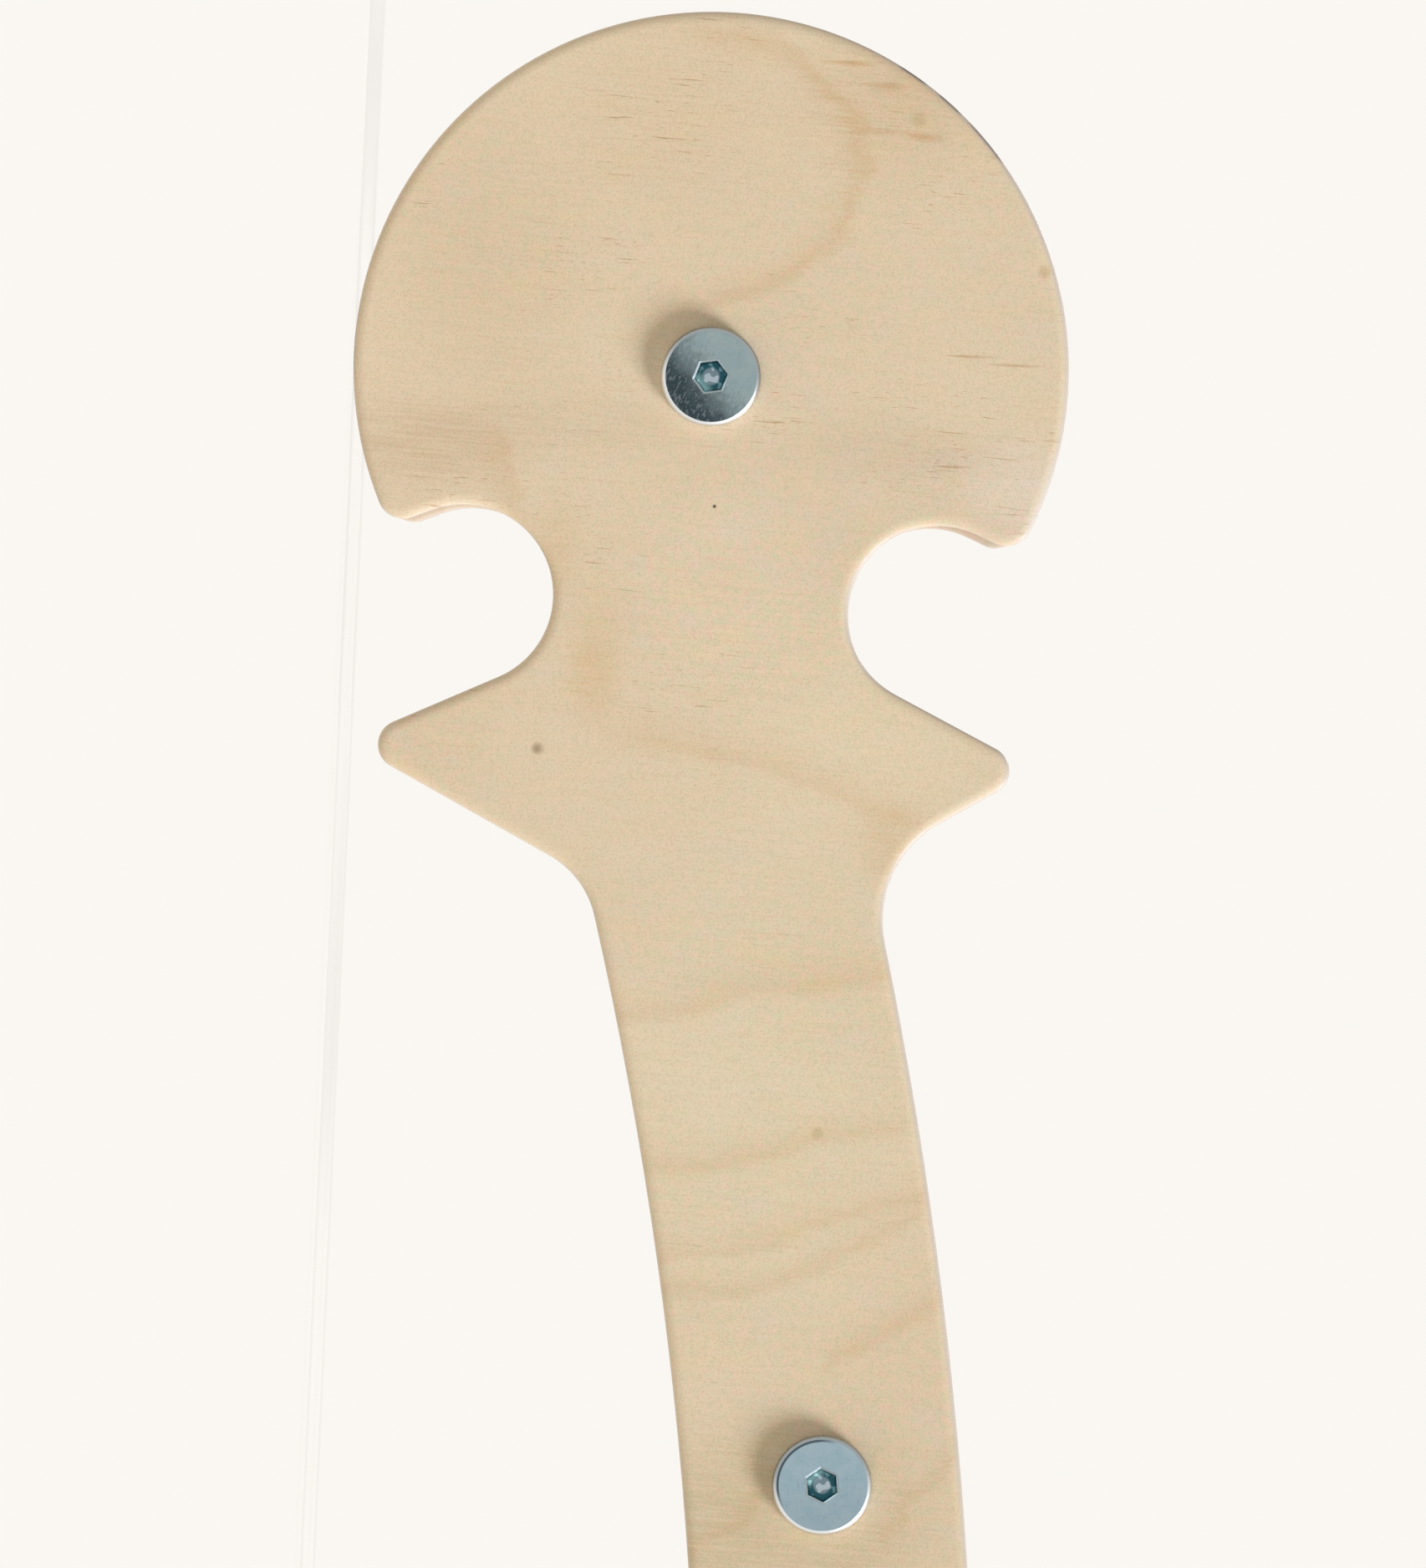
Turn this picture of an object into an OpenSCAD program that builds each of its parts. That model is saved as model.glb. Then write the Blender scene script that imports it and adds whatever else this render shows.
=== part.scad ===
// Hook-on climbing ladder: two bowed plywood rails with hooked ends, joined by round rungs.
// X runs along the ladder, Y across it and Z up. The origin is on the floor under the middle.
// A ladder that isn't hooked on stands on the four discs of its rails, as a low arch.

/* [Rails] */
// Thickness of the plywood
plate_t = 18; // [15:1:24]
// Clear width between the two rails
rail_gap = 340; // [260:5:460]
// Radius of the bow, at the middle of the arm
bow_r = 740; // [680:5:900]
// Width of the bowed arm
arm_w = 47.5; // [42:0.5:54]

/* [Hooked ends] */
// Radius of the disc that ends a rail
disc_r = 61; // [58:0.5:66]
// Diameter of the bar that a hook takes
bar_d = 30; // [27:0.5:33]
// Gap all round between the bar and its seat
seat_clearance = 0.3; // [0.1:0.1:0.5]
// Width of the neck between the two seats
neck_w = 50.4; // [46:0.2:56]
// Distance from the disc's centre to the seats' centres, along the ladder
seat_drop = 40.2; // [38:0.1:43]
// Slope of the disc's edge above a seat
jaw_angle = 23; // [19:0.5:25]
// Radius of the disc's corner above a seat
jaw_r = 4.5; // [3.5:0.1:5.5]
// Slope of the wing's edge below a seat
wing_angle = 25.7; // [24:0.1:28]
// Overall width across the tips of the two wings
wing_span = 107.8; // [102:0.2:114]
// Radius of a wing's tip
wing_r = 4.2; // [3.5:0.1:5]
// Distance from the seats' centres to the start of the arm's centreline, along the ladder
root_drop = 22.9; // [18:0.1:26]
// Radius of the hollow between the upper wing and the arm
upper_fillet_r = 18.7; // [14:0.1:20]
// Distance from the tip of the upper wing to the hollow's centre, along the ladder
upper_shoulder = 25.4; // [24:0.2:29]
// Radius of the hollow between the lower wing and the arm
lower_fillet_r = 15.5; // [12:0.1:19]
// Distance from the tip of the lower wing to the hollow's centre, along the ladder
lower_shoulder = 31.7; // [28:0.1:36]

/* [Rungs] */
// Number of rungs, the two at the discs included
rung_count = 4; // [3:1:6]
// Distance from rung to rung along the ladder
rung_pitch = 188; // [170:1:220]
// Distance from the end rung to the centre of its disc, along the ladder
disc_lead = 1.2; // [0:0.2:3]
// Diameter of a rung
rung_d = 30; // [26:0.5:34]
// Depth that a rung's end is let into a rail
socket_depth = 6; // [3:0.5:9]
// Gap all round between a rung and its socket
socket_clearance = 0.15; // [0.1:0.05:0.4]
// Size of the bevel round a rung's end
rung_bevel = 1; // [0.5:0.1:2]

/* [Bolts] */
// Diameter of a bolt's thread
bolt_d = 8; // [7:0.1:9]
// Length of a bolt below its head
bolt_l = 40; // [36:1:48]
// Gap all round between a bolt and its hole in the rail
bolt_clearance = 0.4; // [0.2:0.1:0.8]
// Diameter of a bolt's head
head_d = 17; // [14:0.5:20]
// Height of a bolt's head
head_h = 3; // [2.5:0.1:4]
// Radius of the rounded rim of a bolt's head
head_round = 0.9; // [0.5:0.1:1.2]
// Width across the flats of the hexagon socket
hex_af = 5; // [4:0.5:6]
// Depth of the hexagon socket
hex_depth = 4; // [3:0.1:5]
// Turn of the first bolt's socket
hex_turn = -20; // [-30:1:30]
// Further turn of each next bolt's socket
hex_turn_step = 27; // [0:1:60]

/* [Inserts] */
// Diameter of a threaded insert
insert_d = 12; // [11:0.5:14]
// Length of an insert
insert_l = 25; // [18:1:27]
// Diameter of an insert's flange
flange_d = 15; // [14.5:0.5:19]
// Thickness of an insert's flange
flange_t = 1.5; // [1:0.1:2.5]
// Gap all round between an insert and its hole in the rung
insert_clearance = 0.1; // [0.05:0.05:0.3]
// Gap all round between a bolt's thread and the insert's
thread_clearance = 0.05; // [0.02:0.01:0.1]
// Room past the bolt's tip in the rung
tip_room = 3; // [2:0.5:8]

/* [Hidden] */
$fn = 64;
// Deviation of the outline's facets from their arcs
arc_tol = 0.03;
// Depth of the clean cut that trues a seat
seat_skim = 0.1;
// Distance under which two points of the outline are one
same_place = 0.001;
// Overlap of a cut past the face it goes through
cut_past = 1;
// Bevel at a bolt's tip and round an insert
metal_bevel = 0.6;

wood = [0.86, 0.78, 0.65];
beech = [0.85, 0.70, 0.52];
zinc = [0.70, 0.74, 0.76];
yellow_zinc = [0.76, 0.68, 0.45];

seat_r = bar_d / 2 + seat_clearance;
socket_r = rung_d / 2 + socket_clearance;
outer_y = rail_gap / 2 + plate_t;
rung_l = rail_gap + 2 * socket_depth;
// Length of bolt that goes into the rung
bolt_in_rung = bolt_l - plate_t + socket_depth;

rung_end_x = (rung_count - 1) / 2 * rung_pitch;
end_x = rung_end_x + disc_lead;
root_x = end_x - seat_drop - root_drop;
bow_z = disc_r - sqrt(bow_r * bow_r - root_x * root_x);

function rung_x(i) = (i - 1) * rung_pitch - rung_end_x;
function arm_z(x, r) = bow_z + sqrt(r * r - x * x);
function rung_z(i) = i == 1 || i == rung_count ? disc_r : arm_z(rung_x(i), bow_r);

// The outline is a belt over round pulleys, each [centre, radius]. A negative radius makes a hollow.
// The belt runs anticlockwise with X to the right and Z up, so the wood is on its left.
// A hooked end is worked out as [along, across] from the disc's centre, for the upper side.
seat = [seat_drop, neck_w / 2 + seat_r];
jaw_way = [sin(jaw_angle), cos(jaw_angle)];
jaw_normal = [-cos(jaw_angle), sin(jaw_angle)];
jaw_start = seat + (seat_r + jaw_r) * jaw_normal;
jaw_run = let (p = jaw_start * jaw_way)
    sqrt(p * p - jaw_start * jaw_start + pow(disc_r - jaw_r, 2)) - p;
jaw = jaw_start + jaw_run * jaw_way;
wing_way = [sin(wing_angle), cos(wing_angle)];
wing_normal = [-cos(wing_angle), sin(wing_angle)];
wing_start = seat - (seat_r + wing_r) * wing_normal;
wing = wing_start + (wing_span / 2 - wing_r - wing_start[1]) / wing_way[1] * wing_way;

function at_end(p, up) = [p[0] - end_x, disc_r + up * p[1]];
function shoulder(along, r) = let (x = wing[0] + along - end_x) [x, arm_z(x, r)];
upper_edge_r = bow_r + arm_w / 2;
lower_edge_r = bow_r - arm_w / 2;
outline_seat_r = seat_r - seat_skim;
end_pulleys = [
    [shoulder(upper_shoulder, upper_edge_r + upper_fillet_r), -upper_fillet_r],
    [at_end(wing, 1), wing_r],
    [at_end(seat, 1), -outline_seat_r],
    [at_end(jaw, 1), jaw_r],
    [at_end([0, 0], 1), disc_r],
    [at_end(jaw, -1), jaw_r],
    [at_end(seat, -1), -outline_seat_r],
    [at_end(wing, -1), wing_r],
    [shoulder(lower_shoulder, lower_edge_r - lower_fillet_r), -lower_fillet_r],
];
far_end_pulleys = [
    for (i = [len(end_pulleys) - 1 : -1 : 0])
        let (p = end_pulleys[i]) [[-p[0][0], p[0][1]], p[1]]
];
pulleys = concat(
    [[[0, bow_z], upper_edge_r]], end_pulleys, [[[0, bow_z], -lower_edge_r]], far_end_pulleys
);

function in_turn(a) = a - 360 * floor(a / 360);
function heading(p, q) = let (d = q[0] - p[0])
    atan2(d[1], d[0]) - asin(min(1, max(-1, (q[1] - p[1]) / norm(d))));
function sweep(from, to, r) = r > 0 ? in_turn(to - from) : -in_turn(from - to);
function arc_steps(a, r) = max(3, ceil(abs(a) / min(15, 2 * acos(1 - arc_tol / abs(r)))));
headings = [
    for (i = [0 : len(pulleys) - 1]) heading(pulleys[i], pulleys[(i + 1) % len(pulleys)])
];
belt = [
    for (i = [0 : len(pulleys) - 1])
        let (
            centre = pulleys[i][0],
            r = pulleys[i][1],
            start = headings[(i + len(pulleys) - 1) % len(pulleys)],
            turned = sweep(start, headings[i], r),
            steps = arc_steps(turned, r)
        )
        for (k = [0 : steps])
            let (a = start + turned * k / steps) centre + r * [sin(a), -cos(a)]
];
// Where two arcs meet without a straight between them, their shared point is kept once
outline = [
    for (i = [0 : len(belt) - 1])
        if (norm(belt[(i + 1) % len(belt)] - belt[i]) > same_place) belt[i]
];

// Cylinder along Y between two places
module across(r, y0, y1) {
    translate([0, y0, 0]) rotate([-90, 0, 0]) cylinder(r = r, h = y1 - y0);
}

// The near rail, cut from a plywood board
module rail() {
    difference() {
        translate([0, -rail_gap / 2, 0])
            rotate([90, 0, 0])
                linear_extrude(plate_t) polygon(outline);
        for (i = [1 : rung_count])
            translate([rung_x(i), 0, rung_z(i)]) {
                across(bolt_d / 2 + bolt_clearance, -outer_y - cut_past, -rail_gap / 2 + cut_past);
                across(socket_r, -rail_gap / 2 - socket_depth, -rail_gap / 2 + cut_past);
            }
        for (side = [-1, 1], up = [-1, 1])
            let (p = at_end(seat, up))
            translate([side * p[0], 0, p[1]])
                across(seat_r, -outer_y - cut_past, -rail_gap / 2 + cut_past);
    }
}

module near_rail() {
    color(wood) rail();
}

module far_rail() {
    color(wood) mirror([0, 1, 0]) rail();
}

// Hole for an insert and the bolt's tip, from a rung's end at Z = 0 down
module insert_hole() {
    translate([0, 0, -flange_t - insert_clearance])
        cylinder(r = flange_d / 2 + insert_clearance, h = flange_t + insert_clearance + cut_past);
    translate([0, 0, -insert_l - insert_clearance])
        cylinder(r = insert_d / 2 + insert_clearance, h = insert_l);
    translate([0, 0, -max(bolt_in_rung, insert_l) - tip_room])
        cylinder(r = bolt_d / 2 + bolt_clearance, h = max(bolt_in_rung, insert_l));
}

module rung(i) {
    r = rung_d / 2;
    color(beech)
        translate([rung_x(i), 0, rung_z(i)])
            rotate([90, 0, 0])
                difference() {
                    translate([0, 0, -rung_l / 2])
                        rotate_extrude()
                            polygon([
                                [0, 0], [r - rung_bevel, 0], [r, rung_bevel],
                                [r, rung_l - rung_bevel], [r - rung_bevel, rung_l], [0, rung_l],
                            ]);
                    for (end = [0, 1])
                        mirror([0, 0, end])
                            translate([0, 0, rung_l / 2]) insert_hole();
                }
}

// Puts a piece modelled along +Z on a rung's axis, with +Z out of the near or the far side
module at_rung(side, i, y) {
    mirror([0, side == "near" ? 0 : 1, 0])
        translate([rung_x(i), -y, rung_z(i)])
            rotate([90, 0, 0]) children();
}

// Flat round head with a rounded rim on a plain shank, and a hexagon socket
module bolt(side, i) {
    shank_r = bolt_d / 2 - thread_clearance;
    rim = [
        for (a = [0 : 15 : 90])
            [head_d / 2 - head_round * (1 - cos(a)), head_h - head_round * (1 - sin(a))]
    ];
    color(zinc)
        at_rung(side, i, outer_y)
            difference() {
                rotate_extrude()
                    polygon(concat(
                        [
                            [0, -bolt_l], [shank_r - metal_bevel, -bolt_l],
                            [shank_r, metal_bevel - bolt_l], [shank_r, 0], [head_d / 2, 0],
                        ],
                        rim,
                        [[0, head_h]]
                    ));
                translate([0, 0, head_h - hex_depth])
                    rotate(hex_turn + (i - 1) * hex_turn_step)
                        cylinder(d = hex_af / cos(30), h = hex_depth + cut_past, $fn = 6);
            }
}

// Flanged sleeve with a plain bore in the place of its threads
module insert(side, i) {
    r = insert_d / 2;
    color(yellow_zinc)
        at_rung(side, i, rung_l / 2)
            rotate_extrude()
                polygon([
                    [bolt_d / 2, -insert_l], [r - metal_bevel, -insert_l],
                    [r, metal_bevel - insert_l], [r, -flange_t], [flange_d / 2, -flange_t],
                    [flange_d / 2, 0], [bolt_d / 2, 0],
                ]);
}

sides = ["near", "far"];

near_rail();
far_rail();
for (i = [1 : rung_count])
    rung(i);
for (side = sides, i = [1 : rung_count]) {
    bolt(side, i);
    insert(side, i);
}
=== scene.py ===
import math

import bmesh
import bpy
from mathutils import Matrix, Vector


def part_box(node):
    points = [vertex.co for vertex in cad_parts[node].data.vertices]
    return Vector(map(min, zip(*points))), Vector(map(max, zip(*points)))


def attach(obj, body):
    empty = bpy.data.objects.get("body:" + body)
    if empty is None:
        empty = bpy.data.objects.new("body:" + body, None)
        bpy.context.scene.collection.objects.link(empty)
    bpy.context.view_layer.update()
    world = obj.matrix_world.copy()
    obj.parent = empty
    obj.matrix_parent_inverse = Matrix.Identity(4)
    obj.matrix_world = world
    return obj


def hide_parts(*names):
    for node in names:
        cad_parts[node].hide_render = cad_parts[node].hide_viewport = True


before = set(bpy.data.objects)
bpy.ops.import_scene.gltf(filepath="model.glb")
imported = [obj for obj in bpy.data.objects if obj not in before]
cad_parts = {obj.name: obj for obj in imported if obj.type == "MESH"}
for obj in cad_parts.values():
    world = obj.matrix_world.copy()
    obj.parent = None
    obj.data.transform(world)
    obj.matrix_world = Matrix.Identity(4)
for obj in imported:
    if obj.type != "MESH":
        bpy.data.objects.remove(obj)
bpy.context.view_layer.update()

# Rails: the two bowed sides with hooked ends, routed from 18 mm birch plywood of 13 plies. Their
# edges are rounded over by hand, and their faces are sanded and left pale. A hole for each bolt
# goes in from outside, and a wider socket on the inside takes the end of each rung.
near_low, near_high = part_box("near_rail")
disc_r = near_high.z / 2
end_x = near_high.x - disc_r
outer_y = -near_low.y
inner_y = -near_high.y
bow_r = 0.740
arm_w = 0.0475
seat_r = 0.0153
seat_drop = 0.0402
neck_w = 0.0504
jaw_angle = math.radians(23)
jaw_r = 0.0045
wing_angle = math.radians(25.7)
wing_span = 0.1078
wing_r = 0.0042
root_drop = 0.0229
upper_fillet_r = 0.0187
upper_shoulder = 0.0254
lower_fillet_r = 0.0155
lower_shoulder = 0.0317
edge_across = 0.0020
edge_deep = 0.0009
edge_steps = 9
bolt_hole_r = 0.0044
socket_gap = 0.00015
hole_steps = 48
arc_miss = 0.00001
widest_step = math.radians(8)
same_place = 1e-6
sharp_angle = math.radians(28)

root_x = end_x - seat_drop - root_drop
bow_z = disc_r - math.sqrt(bow_r**2 - root_x**2)
rungs = sorted(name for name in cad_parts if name.startswith("rung_"))


def hooked_end():
    """Pulleys (x, z, radius) of the -X end, from above to below; hollows have a negative radius"""
    seat = Vector((seat_drop, neck_w / 2 + seat_r))
    jaw_way = Vector((math.sin(jaw_angle), math.cos(jaw_angle)))
    jaw = seat + (seat_r + jaw_r) * Vector((-jaw_way.y, jaw_way.x))
    ahead = jaw.dot(jaw_way)
    jaw += (math.sqrt(ahead**2 - jaw.length_squared + (disc_r - jaw_r) ** 2) - ahead) * jaw_way
    wing_way = Vector((math.sin(wing_angle), math.cos(wing_angle)))
    wing = seat - (seat_r + wing_r) * Vector((-wing_way.y, wing_way.x))
    wing += (wing_span / 2 - wing_r - wing.y) / wing_way.y * wing_way
    side = [(wing, wing_r), (seat, -seat_r), (jaw, jaw_r)]
    upper = [(p.x - end_x, disc_r + p.y, r) for p, r in side]
    lower = [(p.x - end_x, disc_r - p.y, r) for p, r in reversed(side)]
    hollows = []
    shoulders = ((upper_shoulder, upper_fillet_r, 1), (lower_shoulder, lower_fillet_r, -1))
    for along, r, way in shoulders:
        x = wing.x + along - end_x
        hollows.append((x, bow_z + math.sqrt((bow_r + way * (arm_w / 2 + r)) ** 2 - x**2), -r))
    return [hollows[0], *upper, (-end_x, disc_r, disc_r), *lower, hollows[1]]


def heading(start, end):
    """Direction of the straight belt between two pulleys"""
    x, z = end[0] - start[0], end[1] - start[1]
    lean = (end[2] - start[2]) / math.hypot(x, z)
    return math.atan2(z, x) - math.asin(max(-1, min(1, lean)))


def belt(pulleys, inset):
    """Points (x, z) of a belt pulled tight round the pulleys, set in from there by inset"""
    headings = [heading(p, q) for p, q in zip(pulleys, pulleys[1:] + pulleys[:1])]
    points = []
    for (x, z, r), start, end in zip(pulleys, headings[-1:] + headings[:-1], headings):
        turned = (end - start) % math.tau if r > 0 else -((start - end) % math.tau)
        steps = math.ceil(abs(turned) / min(widest_step, 2 * math.acos(1 - arc_miss / abs(r))))
        for a in (start + turned * k / max(3, steps) for k in range(max(3, steps) + 1)):
            points.append((x + (r - inset) * math.sin(a), z - (r - inset) * math.cos(a)))
    return points


left_end = hooked_end()
right_end = [(-x, z, r) for x, z, r in reversed(left_end)]
rail_pulleys = [(0, bow_z, bow_r + arm_w / 2), *left_end, (0, bow_z, arm_w / 2 - bow_r), *right_end]
outline = belt(rail_pulleys, 0)
steps_on = zip(outline, outline[1:] + outline[:1])
kept = [i for i, (p, q) in enumerate(steps_on) if math.dist(p, q) > same_place]


def ring(mesh, points, y):
    """Closed row of vertices at one depth"""
    return [mesh.verts.new((x, y, z)) for x, z in points]


def circle(x, z, r):
    """Points of a round hole"""
    turns = [k * math.tau / hole_steps for k in range(hole_steps)]
    return [(x + r * math.cos(a), z + r * math.sin(a)) for a in turns]


def bridge(mesh, first, second):
    """Band of quads between two closed rows"""
    for i in range(len(first)):
        mesh.faces.new((first[i - 1], first[i], second[i], second[i - 1]))


def cap(mesh, rows):
    """Flat face inside the first row and outside the others"""
    edges = {mesh.edges.get((row[i - 1], row[i])) for row in rows for i in range(len(row))}
    bmesh.ops.triangle_fill(mesh, edges=list(edges), use_beauty=True)


def add_piece(mesh, name, material, replaced):
    """Piece of the ladder made from a finished mesh, in the place of a solid"""
    bmesh.ops.recalc_face_normals(mesh, faces=mesh.faces)
    for edge in mesh.edges:
        edge.smooth = edge.calc_face_angle(0) < sharp_angle
    for face in mesh.faces:
        face.smooth = True
    data = bpy.data.meshes.new(name)
    mesh.to_mesh(data)
    mesh.free()
    data.materials.append(material)
    piece = bpy.data.objects.new(name, data)
    bpy.context.scene.collection.objects.link(piece)
    piece.modifiers.new("true_faces", "WEIGHTED_NORMAL").keep_sharp = True
    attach(piece, "root")
    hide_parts(replaced)
    return piece


def rail_mesh(way):
    """Rail with its rounded edges and its holes, on the near (-1) or the far (1) side"""
    mesh = bmesh.new()
    levels = []
    for a in (k * math.pi / 2 / edge_steps for k in range(edge_steps + 1)):
        levels.append((edge_across * (1 - math.sin(a)), outer_y - edge_deep * (1 - math.cos(a))))
    levels += [(inset, outer_y + inner_y - y) for inset, y in reversed(levels)]
    rows = []
    for inset, y in levels:
        points = belt(rail_pulleys, inset)
        rows.append(ring(mesh, [points[i] for i in kept], way * y))
    for first, second in zip(rows, rows[1:]):
        bridge(mesh, first, second)
    outside, inside = [rows[0]], [rows[-1]]
    for name in rungs:
        low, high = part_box(name)
        x, z = (low.x + high.x) / 2, (low.z + high.z) / 2
        socket_r = (high.x - low.x) / 2 + socket_gap
        hole = [(bolt_hole_r, outer_y), (bolt_hole_r, high.y)]
        hole += [(socket_r, high.y), (socket_r, inner_y)]
        hole_rows = [ring(mesh, circle(x, z, r), way * y) for r, y in hole]
        for first, second in zip(hole_rows, hole_rows[1:]):
            bridge(mesh, first, second)
        outside.append(hole_rows[0])
        inside.append(hole_rows[-1])
    cap(mesh, outside)
    cap(mesh, inside)
    return mesh


class Shade:
    """A socket of a material, so that shader maths reads as plain arithmetic."""

    def __init__(self, socket):
        self.socket = socket

    def node(self, kind, settings, sockets, out=0):
        """Adds a node to the same material and gives one of its outputs"""
        tree = self.socket.id_data
        added = tree.nodes.new("ShaderNode" + kind)
        for name, value in settings.items():
            setattr(added, name, value)
        for name, value in sockets.items():
            if isinstance(value, Shade):
                tree.links.new(value.socket, added.inputs[name])
            else:
                added.inputs[name].default_value = value
        return Shade(added.outputs[out])

    def maths(self, operation, first, second):
        """Adds a Math node"""
        return self.node("Math", {"operation": operation}, {0: first, 1: second})

    def __add__(self, other):
        return self.maths("ADD", self, other)

    def __radd__(self, other):
        return self.maths("ADD", other, self)

    def __sub__(self, other):
        return self.maths("SUBTRACT", self, other)

    def __rsub__(self, other):
        return self.maths("SUBTRACT", other, self)

    def __mul__(self, other):
        return self.maths("MULTIPLY", self, other)

    def __rmul__(self, other):
        return self.maths("MULTIPLY", other, self)

    def __truediv__(self, other):
        return self.maths("DIVIDE", self, other)

    def __pow__(self, other):
        return self.maths("POWER", self, other)

    def __mod__(self, other):
        return self.maths("FLOORED_MODULO", self, other)

    def __abs__(self):
        return self.maths("ABSOLUTE", self, 0)


def screen(red, green, blue):
    """Colour of a surface, from the 0 to 255 values that it has on a screen"""
    shares = [c / 255 for c in (red, green, blue)]
    return (*(c / 12.92 if c < 0.04045 else ((c + 0.055) / 1.055) ** 2.4 for c in shares), 1)


to_mm = 1000


def new_material(name, fixed):
    """Material, its shader with the values that are the same all over, and the place in mm"""
    material = bpy.data.materials.new(name)
    material.use_nodes = True
    tree = material.node_tree
    shader = tree.nodes["Principled BSDF"]
    for socket, value in fixed.items():
        shader.inputs[socket].default_value = value
    metres = Shade(tree.nodes.new("ShaderNodeTexCoord").outputs["Object"])
    place = metres.node("Mapping", {}, {"Vector": metres, "Scale": (to_mm, to_mm, to_mm)})
    return material, shader, place


def feed(shader, socket, value):
    """Links what changes over the surface to a socket of its shader"""
    shader.id_data.links.new(value.socket, shader.inputs[socket])


def axes(place):
    """The three coordinates of a place"""
    split = place.node("SeparateXYZ", {}, {0: place})
    return [Shade(output) for output in split.socket.node.outputs]


seeds_apart = Vector((7.3, 3.1, 5.7))


def cloud(place, size, detail, seed):
    """Cloudy value round one half, with patches of about that size along X, Y and Z"""
    sockets = {"Vector": place, "Location": seeds_apart * seed, "Scale": [1 / s for s in size]}
    spread = place.node("Mapping", {}, sockets)
    return place.node("TexNoise", {}, {"Vector": spread, "Scale": 1.0, "Detail": detail})


def rise(value, low, high):
    """Smooth step from 0 at low to 1 at high"""
    sockets = {"Value": value, "From Min": low, "From Max": high}
    return value.node("MapRange", {"interpolation_type": "SMOOTHSTEP"}, sockets)


def layer(mask, under, over):
    """Colour over another, where the mask is 1"""
    return mask.node("Mix", {"data_type": "RGBA"}, {0: mask, 6: under, 7: over}, 2)


def tint(mask, under, stain):
    """Colour stained by another, as far as the mask says"""
    settings = {"data_type": "RGBA", "blend_type": "MULTIPLY"}
    return mask.node("Mix", settings, {0: mask, 6: under, 7: stain}, 2)


def relief(shader, height, depth_mm, strength):
    """Fine relief of the surface"""
    sockets = {"Height": height, "Distance": depth_mm / to_mm, "Strength": strength}
    feed(shader, "Normal", height.node("Bump", {}, sockets))


def growth_line(place, runs, middle, half, at, slope, bend, fade):
    """Growth line of the face veneer, in mm: a thin line, with a haze to one side of it"""
    x, _, z = axes(place)
    along, across = (z, x) if runs == "across" else (x, z)
    run = along - middle
    past = across - (run * slope + run * run * bend + at)
    reach = 2.2
    line = rise(abs(past), reach, 0.2)
    haze = rise(past, -fade, 0) ** 1.3 * rise(past, reach, -1.0)
    return (line * 0.2 + haze * 0.55) * rise(abs(run), half * 1.2, half * 0.8)


def growth_loop(place, x_mm, z_mm, half_x, half_z):
    """Growth line that closes in a loop, and fades on the loop's lower side"""
    x, _, z = axes(place)
    x, z = (x - x_mm) / half_x, (z - z_mm) / half_z
    past = ((x * x + z * z) ** 0.5 - 1) * half_x
    reach, fade = 2.0, 6
    line = rise(abs(past), reach, 0.1)
    haze = rise(past, -fade, 0) ** 1.3 * rise(past, reach, -0.8)
    return (line * 0.4 + haze * 0.55) * rise(z, -0.4, 0.3)


def spot(place, x_mm, z_mm, reach_x, reach_z, core):
    """Round or oval mark, full over the core's share of its reach"""
    x, _, z = axes(place)
    x, z = (x - x_mm) / reach_x, (z - z_mm) / reach_z
    return rise((x * x + z * z) ** 0.5, 1, core)


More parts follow.
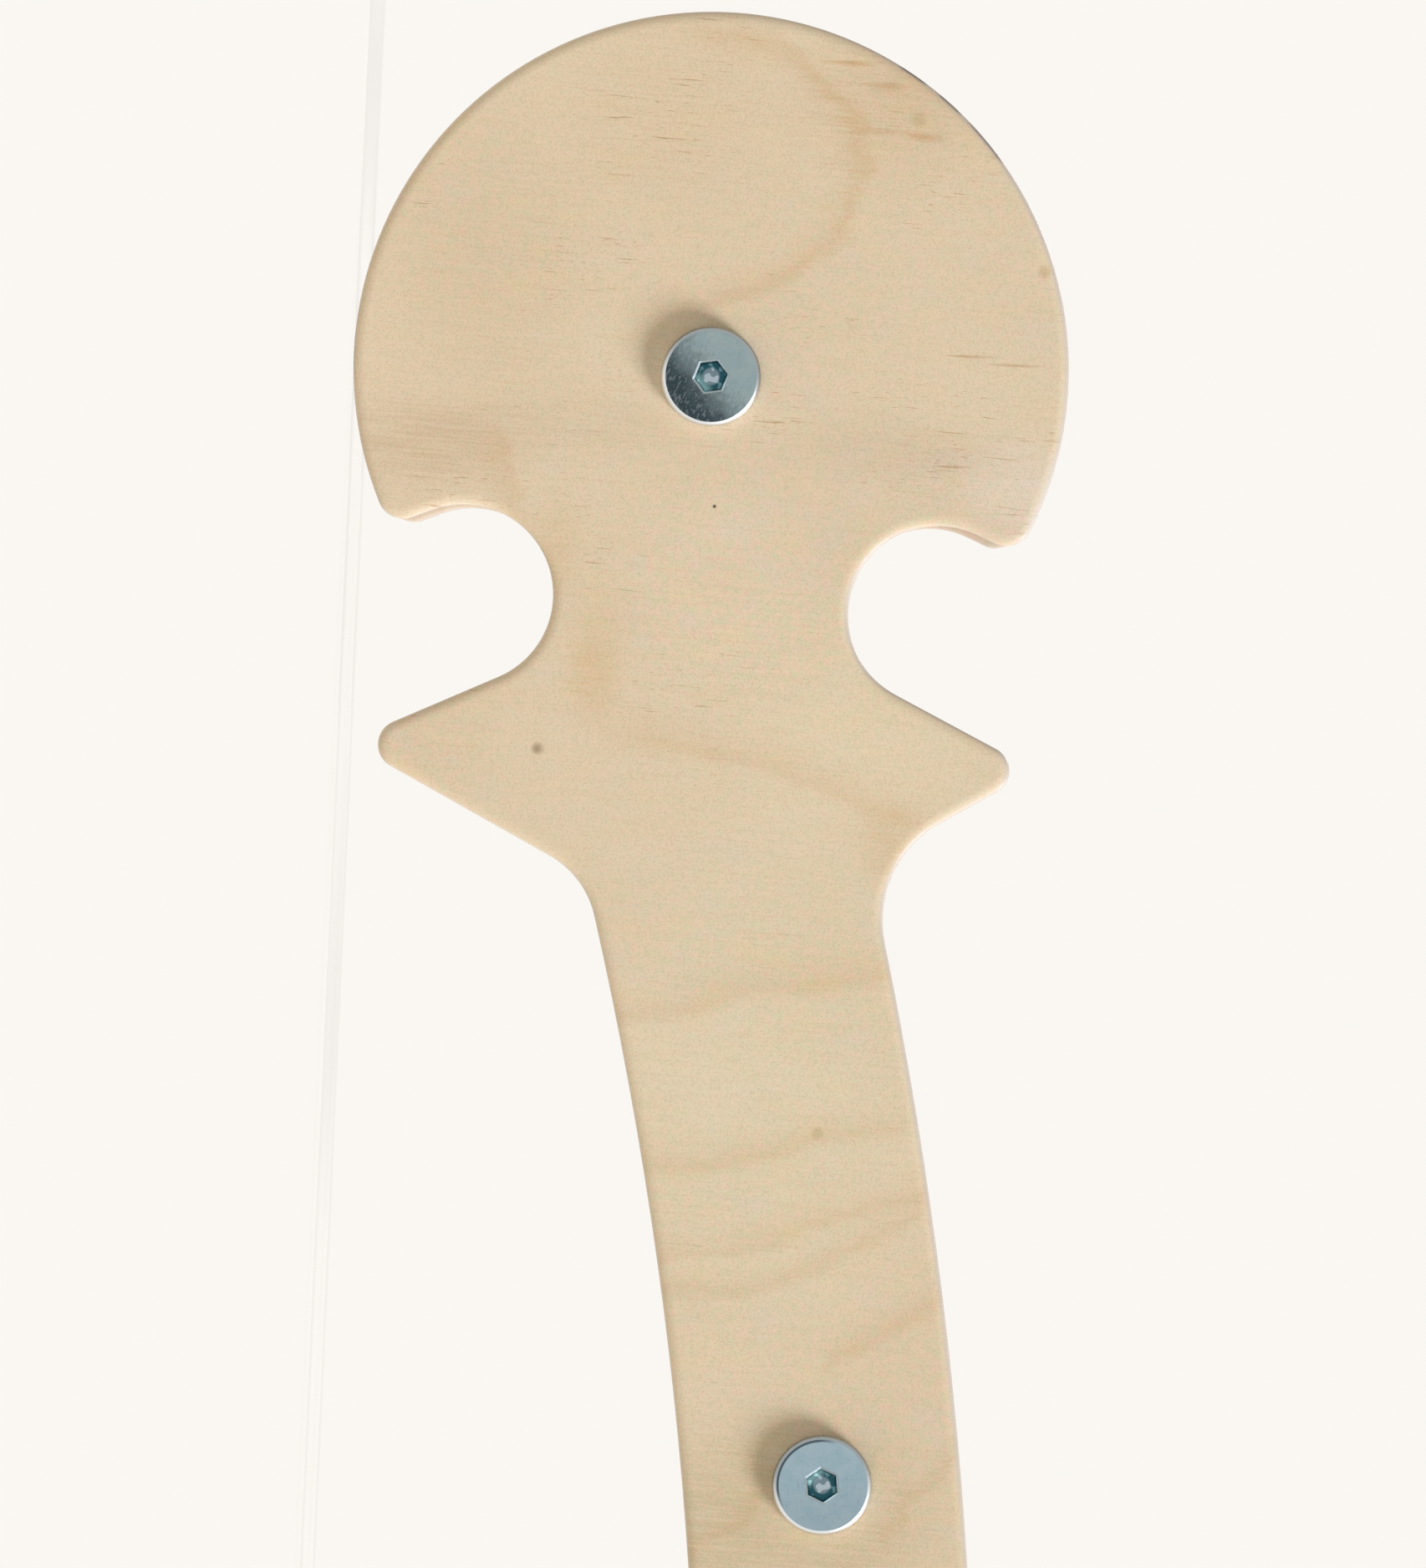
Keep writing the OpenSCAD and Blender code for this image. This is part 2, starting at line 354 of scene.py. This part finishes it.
def plywood():
    """Sanded birch plywood: pale face veneers with faint growth lines, and 13 plies at the edges"""
    material, shader, place = new_material("birch_plywood", {"Specular IOR Level": 0.5})
    grain_slope = math.radians(2.4)
    plies = 13
    board_mm = (outer_y - inner_y) * to_mm
    outer_mm = outer_y * to_mm
    grain = place.node("Mapping", {}, {"Vector": place, "Rotation": (0, -grain_slope, 0)})
    x, y, _ = axes(place)
    depth = outer_mm - abs(y)

    # Where the veneer runs: a slow wander bends every line a little
    wander = cloud(grain, (14, 30, 22), 3, 1)
    ripple = cloud(grain, (5, 30, 8), 3, 2)
    feather = cloud(grain, (0.6, 30, 12), 2, 13)
    fray = feather.node("CombineXYZ", {}, {2: (feather - 0.5) * 6})
    sway = wander.node("CombineXYZ", {}, {0: (wander - 0.5) * 8, 2: (ripple - 0.5) * 9})
    frayed = place.node("VectorMath", {"operation": "ADD"}, {0: place, 1: fray})
    bent = place.node("VectorMath", {"operation": "ADD"}, {0: frayed, 1: sway})

    # Growth lines on the outer face of the near rail's left end: bowed lines and a loop on the disc.
    # Each row gives the way it runs, the middle and half of its run, its place, slope, bend and fade
    lines = [
        ("along", -262.5, 10, 27.9, 0.38, 0.005, 7),
        ("across", 73.6, 27, -214.9, 0.24, 0.0025, 9),
        ("across", 73.2, 27, -176.3, -0.22, -0.002, 9),
        ("across", 71.5, 27, -148.8, -0.16, -0.003, 7),
        ("across", 81.7, 27, -136.0, -0.29, -0.003, 7),
        ("across", 80.6, 24, -128.6, -0.35, -0.008, 6),
        ("across", 98.6, 11, -119.9, -0.68, -0.012, 8),
        ("across", 74.0, 9, -87.3, -0.97, 0, 6),
        ("across", 106.0, 7, -93.5, -1.5, 0, 6),
    ]
    near_left = rise(y, 3.5 - outer_mm, 1 - outer_mm) * rise(x, -60, -78)
    figure = sum(growth_line(bent, *line) for line in lines)
    figure = (figure + growth_loop(bent, -318.2, 56.4, 23.5, 28.5)) * near_left

    # Elsewhere the lines follow one another along the rail
    turn = (x / 23 + wander * 2.4 + cloud(grain, (60, 25, 45), 1, 3) * 3) % 1
    passing = rise(turn, 0.85, 0.95) * 0.4 + turn**3 * 0.5
    figure = figure + passing * rise(turn, 1, 0.95) * (1 - near_left)

    # Colour of the face: broad tone, figure, fibres, pores and a fine speckle
    fibre = cloud(grain, (0.45, 4, 11), 2, 4)
    crowd = rise(cloud(grain, (16, 9, 20), 2, 6), 0.49, 0.64)
    short_pores = rise(cloud(grain, (0.3, 3, 2.4), 1, 5), 0.68, 0.75)
    long_pores = rise(cloud(grain, (0.3, 3, 8), 1, 11), 0.7, 0.76)
    smooth_arm = near_left * rise(x, -235, -205)
    pores = (short_pores * 0.8 + long_pores) * crowd * (1 - smooth_arm * 0.7)
    speckle = cloud(grain, (0.3, 2, 0.34), 1, 7)
    blush = cloud(grain, (1.3, 4, 1.6), 3, 8)
    flush = cloud(grain, (4, 9, 6), 2, 12)
    broad = cloud(grain, (38, 20, 60), 2, 9)
    face = layer(rise(blush, 0.3, 0.7), screen(213, 202, 167), screen(227, 198, 171))
    face = layer(rise(flush, 0.5, 0.75) * 0.5, face, screen(225, 202, 160))
    face = layer(rise(flush, 0.5, 0.25) * 0.5, face, screen(217, 201, 179))
    face = layer(rise(broad, 0.3, 0.7) * 0.6, face, screen(226, 208, 178))
    face = tint(figure, face, screen(248, 240, 230))
    face = tint(rise(fibre, 0.45, 0.75) * 0.5, face, screen(250, 247, 242))
    face = tint(rise(speckle, 0.4, 0.75), face, screen(243, 240, 236))
    face = tint(pores * 0.8, face, screen(214, 190, 164))
    # Painted shade: the inner faces, towards the other rail, are tinted a cooler grey
    face = tint(rise(depth, board_mm - 1.5, board_mm - 0.5), face, screen(240, 240, 248))

    # Marks of that end, each with its place, its reach along X and Z, its share and its stain.
    # The patches are pale (above 1), dark and warm, and the streaks are of resin and of open pores
    resin = screen(238, 222, 204)
    open_pore = screen(222, 204, 184)
    patches = (
        (-264.4, 113.0, 13.0, 13.0, 1.0, (1.04, 1.08, 1.20, 1)),
        (-246.0, 64.0, 26.0, 24.0, 1.0, (1.04, 1.06, 1.08, 1)),
        (-228.0, 88.0, 30.0, 36.0, 1.0, (1.04, 1.06, 1.05, 1)),
        (-160.0, 75.0, 70.0, 40.0, 1.0, (1.02, 1.06, 1.06, 1)),
        (-268.5, 14.0, 11.0, 24.0, 0.8, screen(241, 235, 230)),
        (-273.0, 44.0, 8.0, 34.0, 0.4, screen(241, 238, 234)),
        (-270.5, 93.0, 8.0, 30.0, 0.6, screen(244, 242, 241)),
        (-330.0, 90.0, 20.0, 24.0, 0.9, screen(248, 243, 236)),
        (-300.0, 22.0, 40.0, 25.0, 0.9, screen(250, 248, 244)),
        (-326.0, 52.0, 26.0, 36.0, 0.8, screen(250, 247, 242)),
        (-84.0, 82.0, 30.0, 40.0, 1.0, screen(238, 237, 229)),
        (-229.0, 43.0, 11.0, 7.0, 0.7, screen(250, 240, 224)),
        (-238.0, 44.0, 12.0, 8.0, 0.5, screen(251, 243, 228)),
        (-203.0, 96.0, 10.0, 9.0, 0.8, screen(248, 240, 227)),
        (-251.4, 36.0, 14.0, 6.5, 0.7, screen(250, 242, 229)),
    )
    streaks = (
        (-332.9, 88.8, 1.3, 5.2, 0.8, resin),
        (-324.3, 95.6, 1.1, 5.2, 0.8, resin),
        (-325.1, 87.5, 0.8, 6.5, 0.6, resin),
        (-336.4, 82.8, 0.9, 5.2, 0.7, resin),
        (-321.5, 107.2, 0.5, 2.4, 0.6, resin),
        (-287.4, 105.0, 0.5, 5.5, 0.7, open_pore),
        (-286.2, 113.5, 0.4, 7.0, 0.5, open_pore),
        (-268.5, 103.0, 0.4, 4.0, 0.7, open_pore),
    )
    feathered = (0.6 + rise(feather, 0.3, 0.7) * 0.8) * near_left
    for x_mm, z_mm, reach_x, reach_z, share, stain in (*patches, *streaks):
        mark = spot(frayed, x_mm, z_mm, reach_x, reach_z, 0.1)
        face = tint(mark * feathered * share, face, stain)

    # A pin knot with its core, a speck and three faint spots
    for x_mm, z_mm, reach, share, stain in (
        (-217.3, 34.3, 1.5, 0.9, screen(208, 200, 190)),
        (-217.2, 34.2, 0.8, 0.5, screen(214, 206, 198)),
        (-259.9, 62.6, 0.45, 0.95, screen(84, 70, 62)),
        (-153.9, 85.0, 1.5, 0.45, screen(214, 208, 196)),
        (-327.4, 94.5, 1.9, 0.5, screen(222, 218, 196)),
        (-302.4, 117.1, 1.6, 0.5, screen(222, 204, 176)),
    ):
        dot = spot(place, x_mm, z_mm, reach, reach, 0.3)
        face = tint(dot * near_left * share, face, stain)

    # The rounded edges are painted paler, partly for the sanding and partly as a painted sheen, and
    # those that face up, towards the lamp, are greyed as painted shade that holds their highlight
    # down
    _, sideways, upward = axes(place.node("NewGeometry", {}, {}, "Normal"))
    flat = abs(sideways)
    sanded_edge_sheen = rise(flat, 0.95, 0.6)
    top_edge_painted_shade = rise(flat, 0.998, 0.88) * rise(upward, 0.1, 0.4)
    face = layer(sanded_edge_sheen * 0.5, face, screen(227, 216, 202))
    face = layer(top_edge_painted_shade * 0.45, face, screen(182, 175, 172))

    # Scorches of the router on the rim of that end's disc
    disc_mm = disc_r * to_mm
    rim = 1 - spot(place, -end_x * to_mm, disc_mm, disc_mm, disc_mm, 0.99)
    for x_mm, z_mm, reach in ((-335.0, 93.1, 3.4), (-330.4, 99.6, 3.1), (-324.2, 106.2, 5.5)):
        scorch = spot(place, x_mm, z_mm, reach, reach, 0.5) * rim
        face = tint(scorch * near_left, face, screen(140, 134, 134))

    # Plies at the edges: long grain and end grain by turns, with a dark glue line between them
    ply = depth * (plies / board_mm)
    part = ply % 1
    odd = rise((ply - part) % 2, 0.4, 0.6)
    glue = rise(part, 0.1, 0.03) + rise(part, 0.9, 0.97)
    streak = cloud(grain, (5, 0.3, 5), 3, 10)
    edge = layer(odd, screen(224, 206, 176), screen(209, 187, 157))
    edge = tint(rise(streak, 0.4, 0.75), edge, screen(242, 236, 228))
    edge = tint(glue * 0.5, edge, screen(205, 184, 166))
    inner_ply = rise(ply, 0.93, 1.0) * rise(ply, plies - 0.93, plies - 1.0)
    feed(shader, "Base Color", layer(inner_ply, face, edge))

    feed(shader, "Roughness", 0.4 + fibre * 0.12 + inner_ply * 0.12)
    relief(shader, fibre * 0.4 - pores * 0.7 + speckle * 0.25 - glue * inner_ply, 0.05, 0.3)
    return material


birch = plywood()
for side, way in (("near", -1), ("far", 1)):
    add_piece(rail_mesh(way), f"{side}_rail_board", birch, f"{side}_rail")

# Rungs: four round dowels turned from beech, sanded and waxed. Each end sits in a socket of a rail
# and is bored for the insert that the rail's bolt is screwed into.


def beech():
    """Turned beech: pinkish tan, with long growth streaks and short dark flecks along the dowel"""
    material, shader, place = new_material("beech_dowel", {"Specular IOR Level": 0.4})
    streak = cloud(place, (2.6, 150, 2.6), 3, 1)
    fine = cloud(place, (0.5, 22, 0.5), 2, 2)
    fleck = cloud(place, (0.32, 2.6, 0.32), 1, 3)
    flecks = rise(fleck, 0.64, 0.72)
    wood = layer(rise(streak, 0.3, 0.7), screen(222, 190, 150), screen(205, 168, 126))
    wood = tint(rise(fine, 0.4, 0.75) * 0.7, wood, screen(232, 218, 200))
    wood = tint(flecks * 0.65, wood, screen(196, 160, 128))
    feed(shader, "Base Color", wood)
    feed(shader, "Roughness", 0.42 + fine * 0.16)
    relief(shader, fine * 0.5 - flecks * 0.6, 0.05, 0.3)
    return material


def finish_solid(name, material):
    """Gives a solid that is shown as it stands its finish"""
    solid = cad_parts[name]
    solid.data.materials.clear()
    solid.data.materials.append(material)


dowel = beech()
for name in rungs:
    finish_solid(name, dowel)

# Inserts: flanged sleeves of yellow zinc-plated steel, threaded inside, screwed into the ends of
# the rungs. They are hidden once the ladder is bolted together.


def yellow_zinc():
    """Yellow passivated zinc: straw to rainbow patches over fine scratches"""
    material, shader, place = new_material("insert_zinc", {"Metallic": 1.0})
    patch = cloud(place, (2.2, 2.2, 2.2), 2, 1)
    scratch = cloud(place, (0.15, 1.6, 0.15), 2, 2)
    plating = layer(rise(patch, 0.35, 0.65), screen(206, 184, 122), screen(190, 176, 150))
    feed(shader, "Base Color", tint(rise(scratch, 0.5, 0.75) * 0.5, plating, screen(210, 205, 195)))
    feed(shader, "Roughness", 0.3 + scratch * 0.2)
    return material


sleeve = yellow_zinc()
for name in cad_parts:
    if "_insert_" in name:
        finish_solid(name, sleeve)

# Bolts: flat-headed furniture bolts of blue zinc-plated steel, with a hexagon socket. Each goes
# through a rail into the insert of a rung, and its head stands on the face of the rail.
head_r = 0.0085
head_h = 0.003
rim_r = 0.0011
rim_turn = math.radians(70)
foot_bevel = 0.0003
round_steps = 8
shank_r = 0.00395
shank_l = 0.040
tip_bevel = 0.0006
hex_flat = 0.0025
hex_depth = 0.0034
hex_draft = 0.0003
mouth_bevel = 0.00035
drill_r = 0.0020
drill_point = 0.0005
hex_turn = math.radians(-20)
hex_turn_step = math.radians(27)
bolt_steps = 96


def hexagon(a, flat):
    """Reach of a hexagon from its axis, in a direction counted from one of its corners"""
    sixth = math.tau / 6
    return flat / math.cos(a % sixth - sixth / 2)


def bolt_mesh():
    """Bolt round its head's foot, with its head towards -Y"""
    rim = [k * rim_turn / round_steps for k in range(round_steps + 1)]
    rim_h = head_h - rim_r * math.sin(rim_turn)
    profile = [(shank_r - tip_bevel, -shank_l), (shank_r, tip_bevel - shank_l), (shank_r, 0)]
    profile += [(head_r - foot_bevel, 0), (head_r, foot_bevel)]
    profile += [(head_r - rim_r * (1 - math.cos(a)), rim_h + rim_r * math.sin(a)) for a in rim]
    floor_h = head_h - hex_depth
    socket = [(hex_flat + mouth_bevel, head_h), (hex_flat, head_h - mouth_bevel)]
    socket.append((hex_flat - hex_draft, floor_h))
    mesh = bmesh.new()
    turns = [k * math.tau / bolt_steps for k in range(bolt_steps)]

    def row(reach, h):
        return [mesh.verts.new((reach(a) * math.cos(a), -h, reach(a) * math.sin(a))) for a in turns]

    rows = [row(lambda a: r, h) for r, h in profile]
    rows += [row(lambda a: hexagon(a, flat), h) for flat, h in socket]
    rows.append(row(lambda a: drill_r, floor_h))
    for first, second in zip(rows, rows[1:]):
        bridge(mesh, first, second)
    point = mesh.verts.new((0, drill_point - floor_h, 0))
    for i in range(bolt_steps):
        mesh.faces.new((rows[-1][i - 1], rows[-1][i], point))
    mesh.faces.new(rows[0])
    return mesh


def blue_zinc(name, light, lighter, dull_way, dull_share, wall_highlight_way):
    """Blue passivated zinc: light grey-blue, mottled, and duller to one side from wear, with painted
    highlights, shade and glints on its rim and in its socket
    """
    material, shader, place = new_material(name, {"Metallic": 1.0})
    x, y, z = axes(place)
    radius = (x * x + z * z) ** 0.5
    below = y + head_h * to_mm
    bevel_mm = mouth_bevel * to_mm
    flat_mm = 7.7
    mouth_mm = 3.4
    mottle = cloud(place, (0.9, 0.7, 0.5), 5, 1)
    patch = cloud(place, (3, 3, 3), 2, 2)
    scratch = cloud(place, (0.09, 1, 1.1), 2, 3)

    # Flat face of the head
    side = x * math.cos(dull_way) + z * math.sin(dull_way)
    dull = rise(side + (patch - 0.5) * 5 + (mottle - 0.5) * 6, -3.5, 5.5) * dull_share
    plating = layer(rise(patch, 0.35, 0.65), light, lighter)
    plating = tint(rise(mottle, 0.5, 0.8) * 0.4, plating, screen(215, 220, 222))
    plating = layer(dull, plating, screen(45, 60, 67))
    plating = layer(dull * rise(mottle, 0.5, 0.62) * 0.35, plating, screen(150, 160, 166))
    plating = tint(rise(scratch, 0.62, 0.75) * 0.25, plating, screen(200, 205, 208))

    # Rim and mouth of the socket, burnished bright by wear and painted brighter as a highlight, the
    # rim most on the lamp's side (+X), then the socket's walls and its drilled floor
    rubbed_and_lit_rim = layer(rise(x, -4, 4), screen(158, 166, 171), screen(232, 236, 239))
    plating = layer(rise(radius, flat_mm, flat_mm + 0.15), plating, rubbed_and_lit_rim)
    # Painted shade: a dark line in the crease round the flat face, on the side away from the lamp
    shaded_crease = rise(abs(radius - (flat_mm - 0.1)), 0.3, 0.1) * rise(x + z, -3, -8)
    plating = layer(shaded_crease * (1 - dull_share), plating, screen(58, 70, 78))
    inside = rise(radius, mouth_mm, mouth_mm - 0.15)
    mouth = inside * rise(below, 0.02, 0.06)
    plating = layer(mouth, plating, screen(200, 209, 213))
    # Painted light in the socket: dark shade in the recess, a highlight on the walls that face the
    # lamp, random glints, and a reflection on the floor at its middle
    walls = inside * rise(below, bevel_mm, bevel_mm + 0.1)
    painted_wall_highlight = rise(x * math.cos(wall_highlight_way) + z * math.sin(wall_highlight_way), 0.6, 2.2)
    painted_glints = rise(cloud(place, (1.1, 1.1, 1.1), 0, 4), 0.5, 0.58)
    lit_walls = layer(painted_glints * 0.3, screen(40, 84, 96), screen(150, 196, 204))
    lit_walls = layer(painted_wall_highlight * (0.4 + painted_glints * 0.6), lit_walls, screen(190, 236, 240))
    plating = layer(walls, plating, lit_walls)
    drilled = walls * rise(radius, 1.7, 1.2)
    plating = layer(drilled * (0.35 + painted_glints * 0.5), plating, screen(186, 200, 212))

    feed(shader, "Base Color", plating)
    feed(shader, "Roughness", 0.2 + mottle * 0.16 + dull * 0.1)
    relief(shader, mottle * 0.4 + scratch * 0.3, 0.02, 0.25)
    return material


upper_left = math.radians(-135) - hex_turn - hex_turn_step
bright_tones = screen(155, 180, 193), screen(163, 185, 197)
bright_zinc = blue_zinc("zinc_bright", *bright_tones, 0, 0.1, upper_left)
lower_left = math.radians(-50) - hex_turn
worn_tones = screen(148, 168, 174), screen(156, 173, 177)
worn_zinc = blue_zinc("zinc_worn", *worn_tones, lower_left, 0.95, lower_left)
for side, way in (("near", -1), ("far", 1)):
    for i, rung in enumerate(rungs):
        low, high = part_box(rung)
        zinc = worn_zinc if (side, i) == ("near", 0) else bright_zinc
        name = f"{side}_bolt_{i + 1}"
        bolt = add_piece(bolt_mesh(), f"{name}_head_and_shank", zinc, name)
        bolt.location = ((low.x + high.x) / 2, way * outer_y, (low.z + high.z) / 2)
        bolt.rotation_euler = (0, -hex_turn - i * hex_turn_step, math.pi if way > 0 else 0)

# Stage: a pale seamless floor that the ladder stands on, under a large soft lamp, a weaker one from
# behind and an even sky; the lamps are a little cool and the sky warm, and together they are white.
# The camera looks from far off at the near rail's hooked end, and the rail runs down the picture.
backdrop = screen(250, 247, 242)
floor_half = 3.0
floor_matt = screen(219, 213, 201)
floor_glow_share = 0.85
sky_colour = (1.0, 0.96, 0.88)
sky_strength = 0.26
lamp_colour = (0.89, 0.92, 1.0)
lamp_spread = math.radians(22)
lamps = {
    "soft_lamp": (3.9, Vector((0.60, -0.40, 0.69)).normalized()),
    "back_lamp": (1.1, Vector((-0.35, 0.72, 0.60)).normalized()),
}
picture_height = 0.26736
picture_middle = Vector((-0.2126, -outer_y, 0.0645))
picture_turn = math.radians(2.604)
camera_away = 10.0
camera_up_frame = 0.0300
sensor_mm = 36.0


def seen_rays(tree):
    """1 for what the camera sees, straight or in a reflection, and 0 for light on its way"""
    path = tree.nodes.new("ShaderNodeLightPath").outputs
    straight = Shade(path["Is Camera Ray"])
    mirrored = Shade(path["Is Glossy Ray"])
    through = Shade(path["Is Transmission Ray"])
    return straight.maths("MAXIMUM", straight, mirrored.maths("MAXIMUM", mirrored, through))


def floor_finish():
    """Pale floor: seen in the backdrop's colour, with a share of its shading for the shadow"""
    material = bpy.data.materials.new("pale_floor")
    material.use_nodes = True
    tree = material.node_tree
    tree.nodes.clear()
    seen = seen_rays(tree)
    from_lamps = sum(strength * way.z for strength, way in lamps.values()) / math.pi
    lit = [sky_strength * s + from_lamps * c for s, c in zip(sky_colour, lamp_colour)]
    shaded = [m * c * (1 - floor_glow_share) for m, c in zip(floor_matt, lit)]
    glow_colour = [(b - s) / floor_glow_share for b, s in zip(backdrop, shaded)]
    matt = seen.node("BsdfDiffuse", {}, {"Color": floor_matt})
    glow = seen.node("Emission", {}, {"Color": (*glow_colour, 1), "Strength": 1.0})
    both = seen.node("MixShader", {}, {0: seen * floor_glow_share, 1: matt, 2: glow})
    output = tree.nodes.new("ShaderNodeOutputMaterial")
    tree.links.new(both.socket, output.inputs["Surface"])
    return material


floor_mesh = bmesh.new()
bmesh.ops.create_grid(floor_mesh, x_segments=4, y_segments=4, size=floor_half)
floor_data = bpy.data.meshes.new("floor")
floor_mesh.to_mesh(floor_data)
floor_mesh.free()
floor_data.materials.append(floor_finish())
floor = bpy.data.objects.new("floor", floor_data)
bpy.context.scene.collection.objects.link(floor)

world = bpy.data.worlds.new("studio")
world.use_nodes = True
world.node_tree.nodes.clear()
seen = seen_rays(world.node_tree)
sky = seen.node("Background", {}, {"Color": (*sky_colour, 1), "Strength": sky_strength})
wall = seen.node("Background", {}, {"Color": backdrop, "Strength": 1.0})
mixed = seen.node("MixShader", {}, {0: seen, 1: sky, 2: wall})
world_output = world.node_tree.nodes.new("ShaderNodeOutputWorld")
world.node_tree.links.new(mixed.socket, world_output.inputs["Surface"])
bpy.context.scene.world = world

for name, (strength, way) in lamps.items():
    lamp = bpy.data.lights.new(name, "SUN")
    lamp.energy = strength
    lamp.color = lamp_colour
    lamp.angle = lamp_spread
    stand = bpy.data.objects.new(name, lamp)
    stand.rotation_euler = way.to_track_quat("Z", "Y").to_euler()
    bpy.context.scene.collection.objects.link(stand)

picture_up = Vector((-math.cos(picture_turn), 0, -math.sin(picture_turn)))
camera = bpy.data.cameras.new("camera")
camera.sensor_width = sensor_mm
camera.lens = sensor_mm * camera_away / picture_height
camera.clip_end = 10 * camera_away
tripod = bpy.data.objects.new("camera", camera)
tripod.location = picture_middle + Vector((0, -camera_away, 0)) + camera_up_frame * picture_up
back = (tripod.location - picture_middle).normalized()
right = picture_up.cross(back).normalized()
up = back.cross(right)
tripod.rotation_euler = Matrix((right, up, back)).transposed().to_euler()
bpy.context.scene.collection.objects.link(tripod)
bpy.context.scene.camera = tripod
bpy.context.scene.view_settings.view_transform = "Standard"
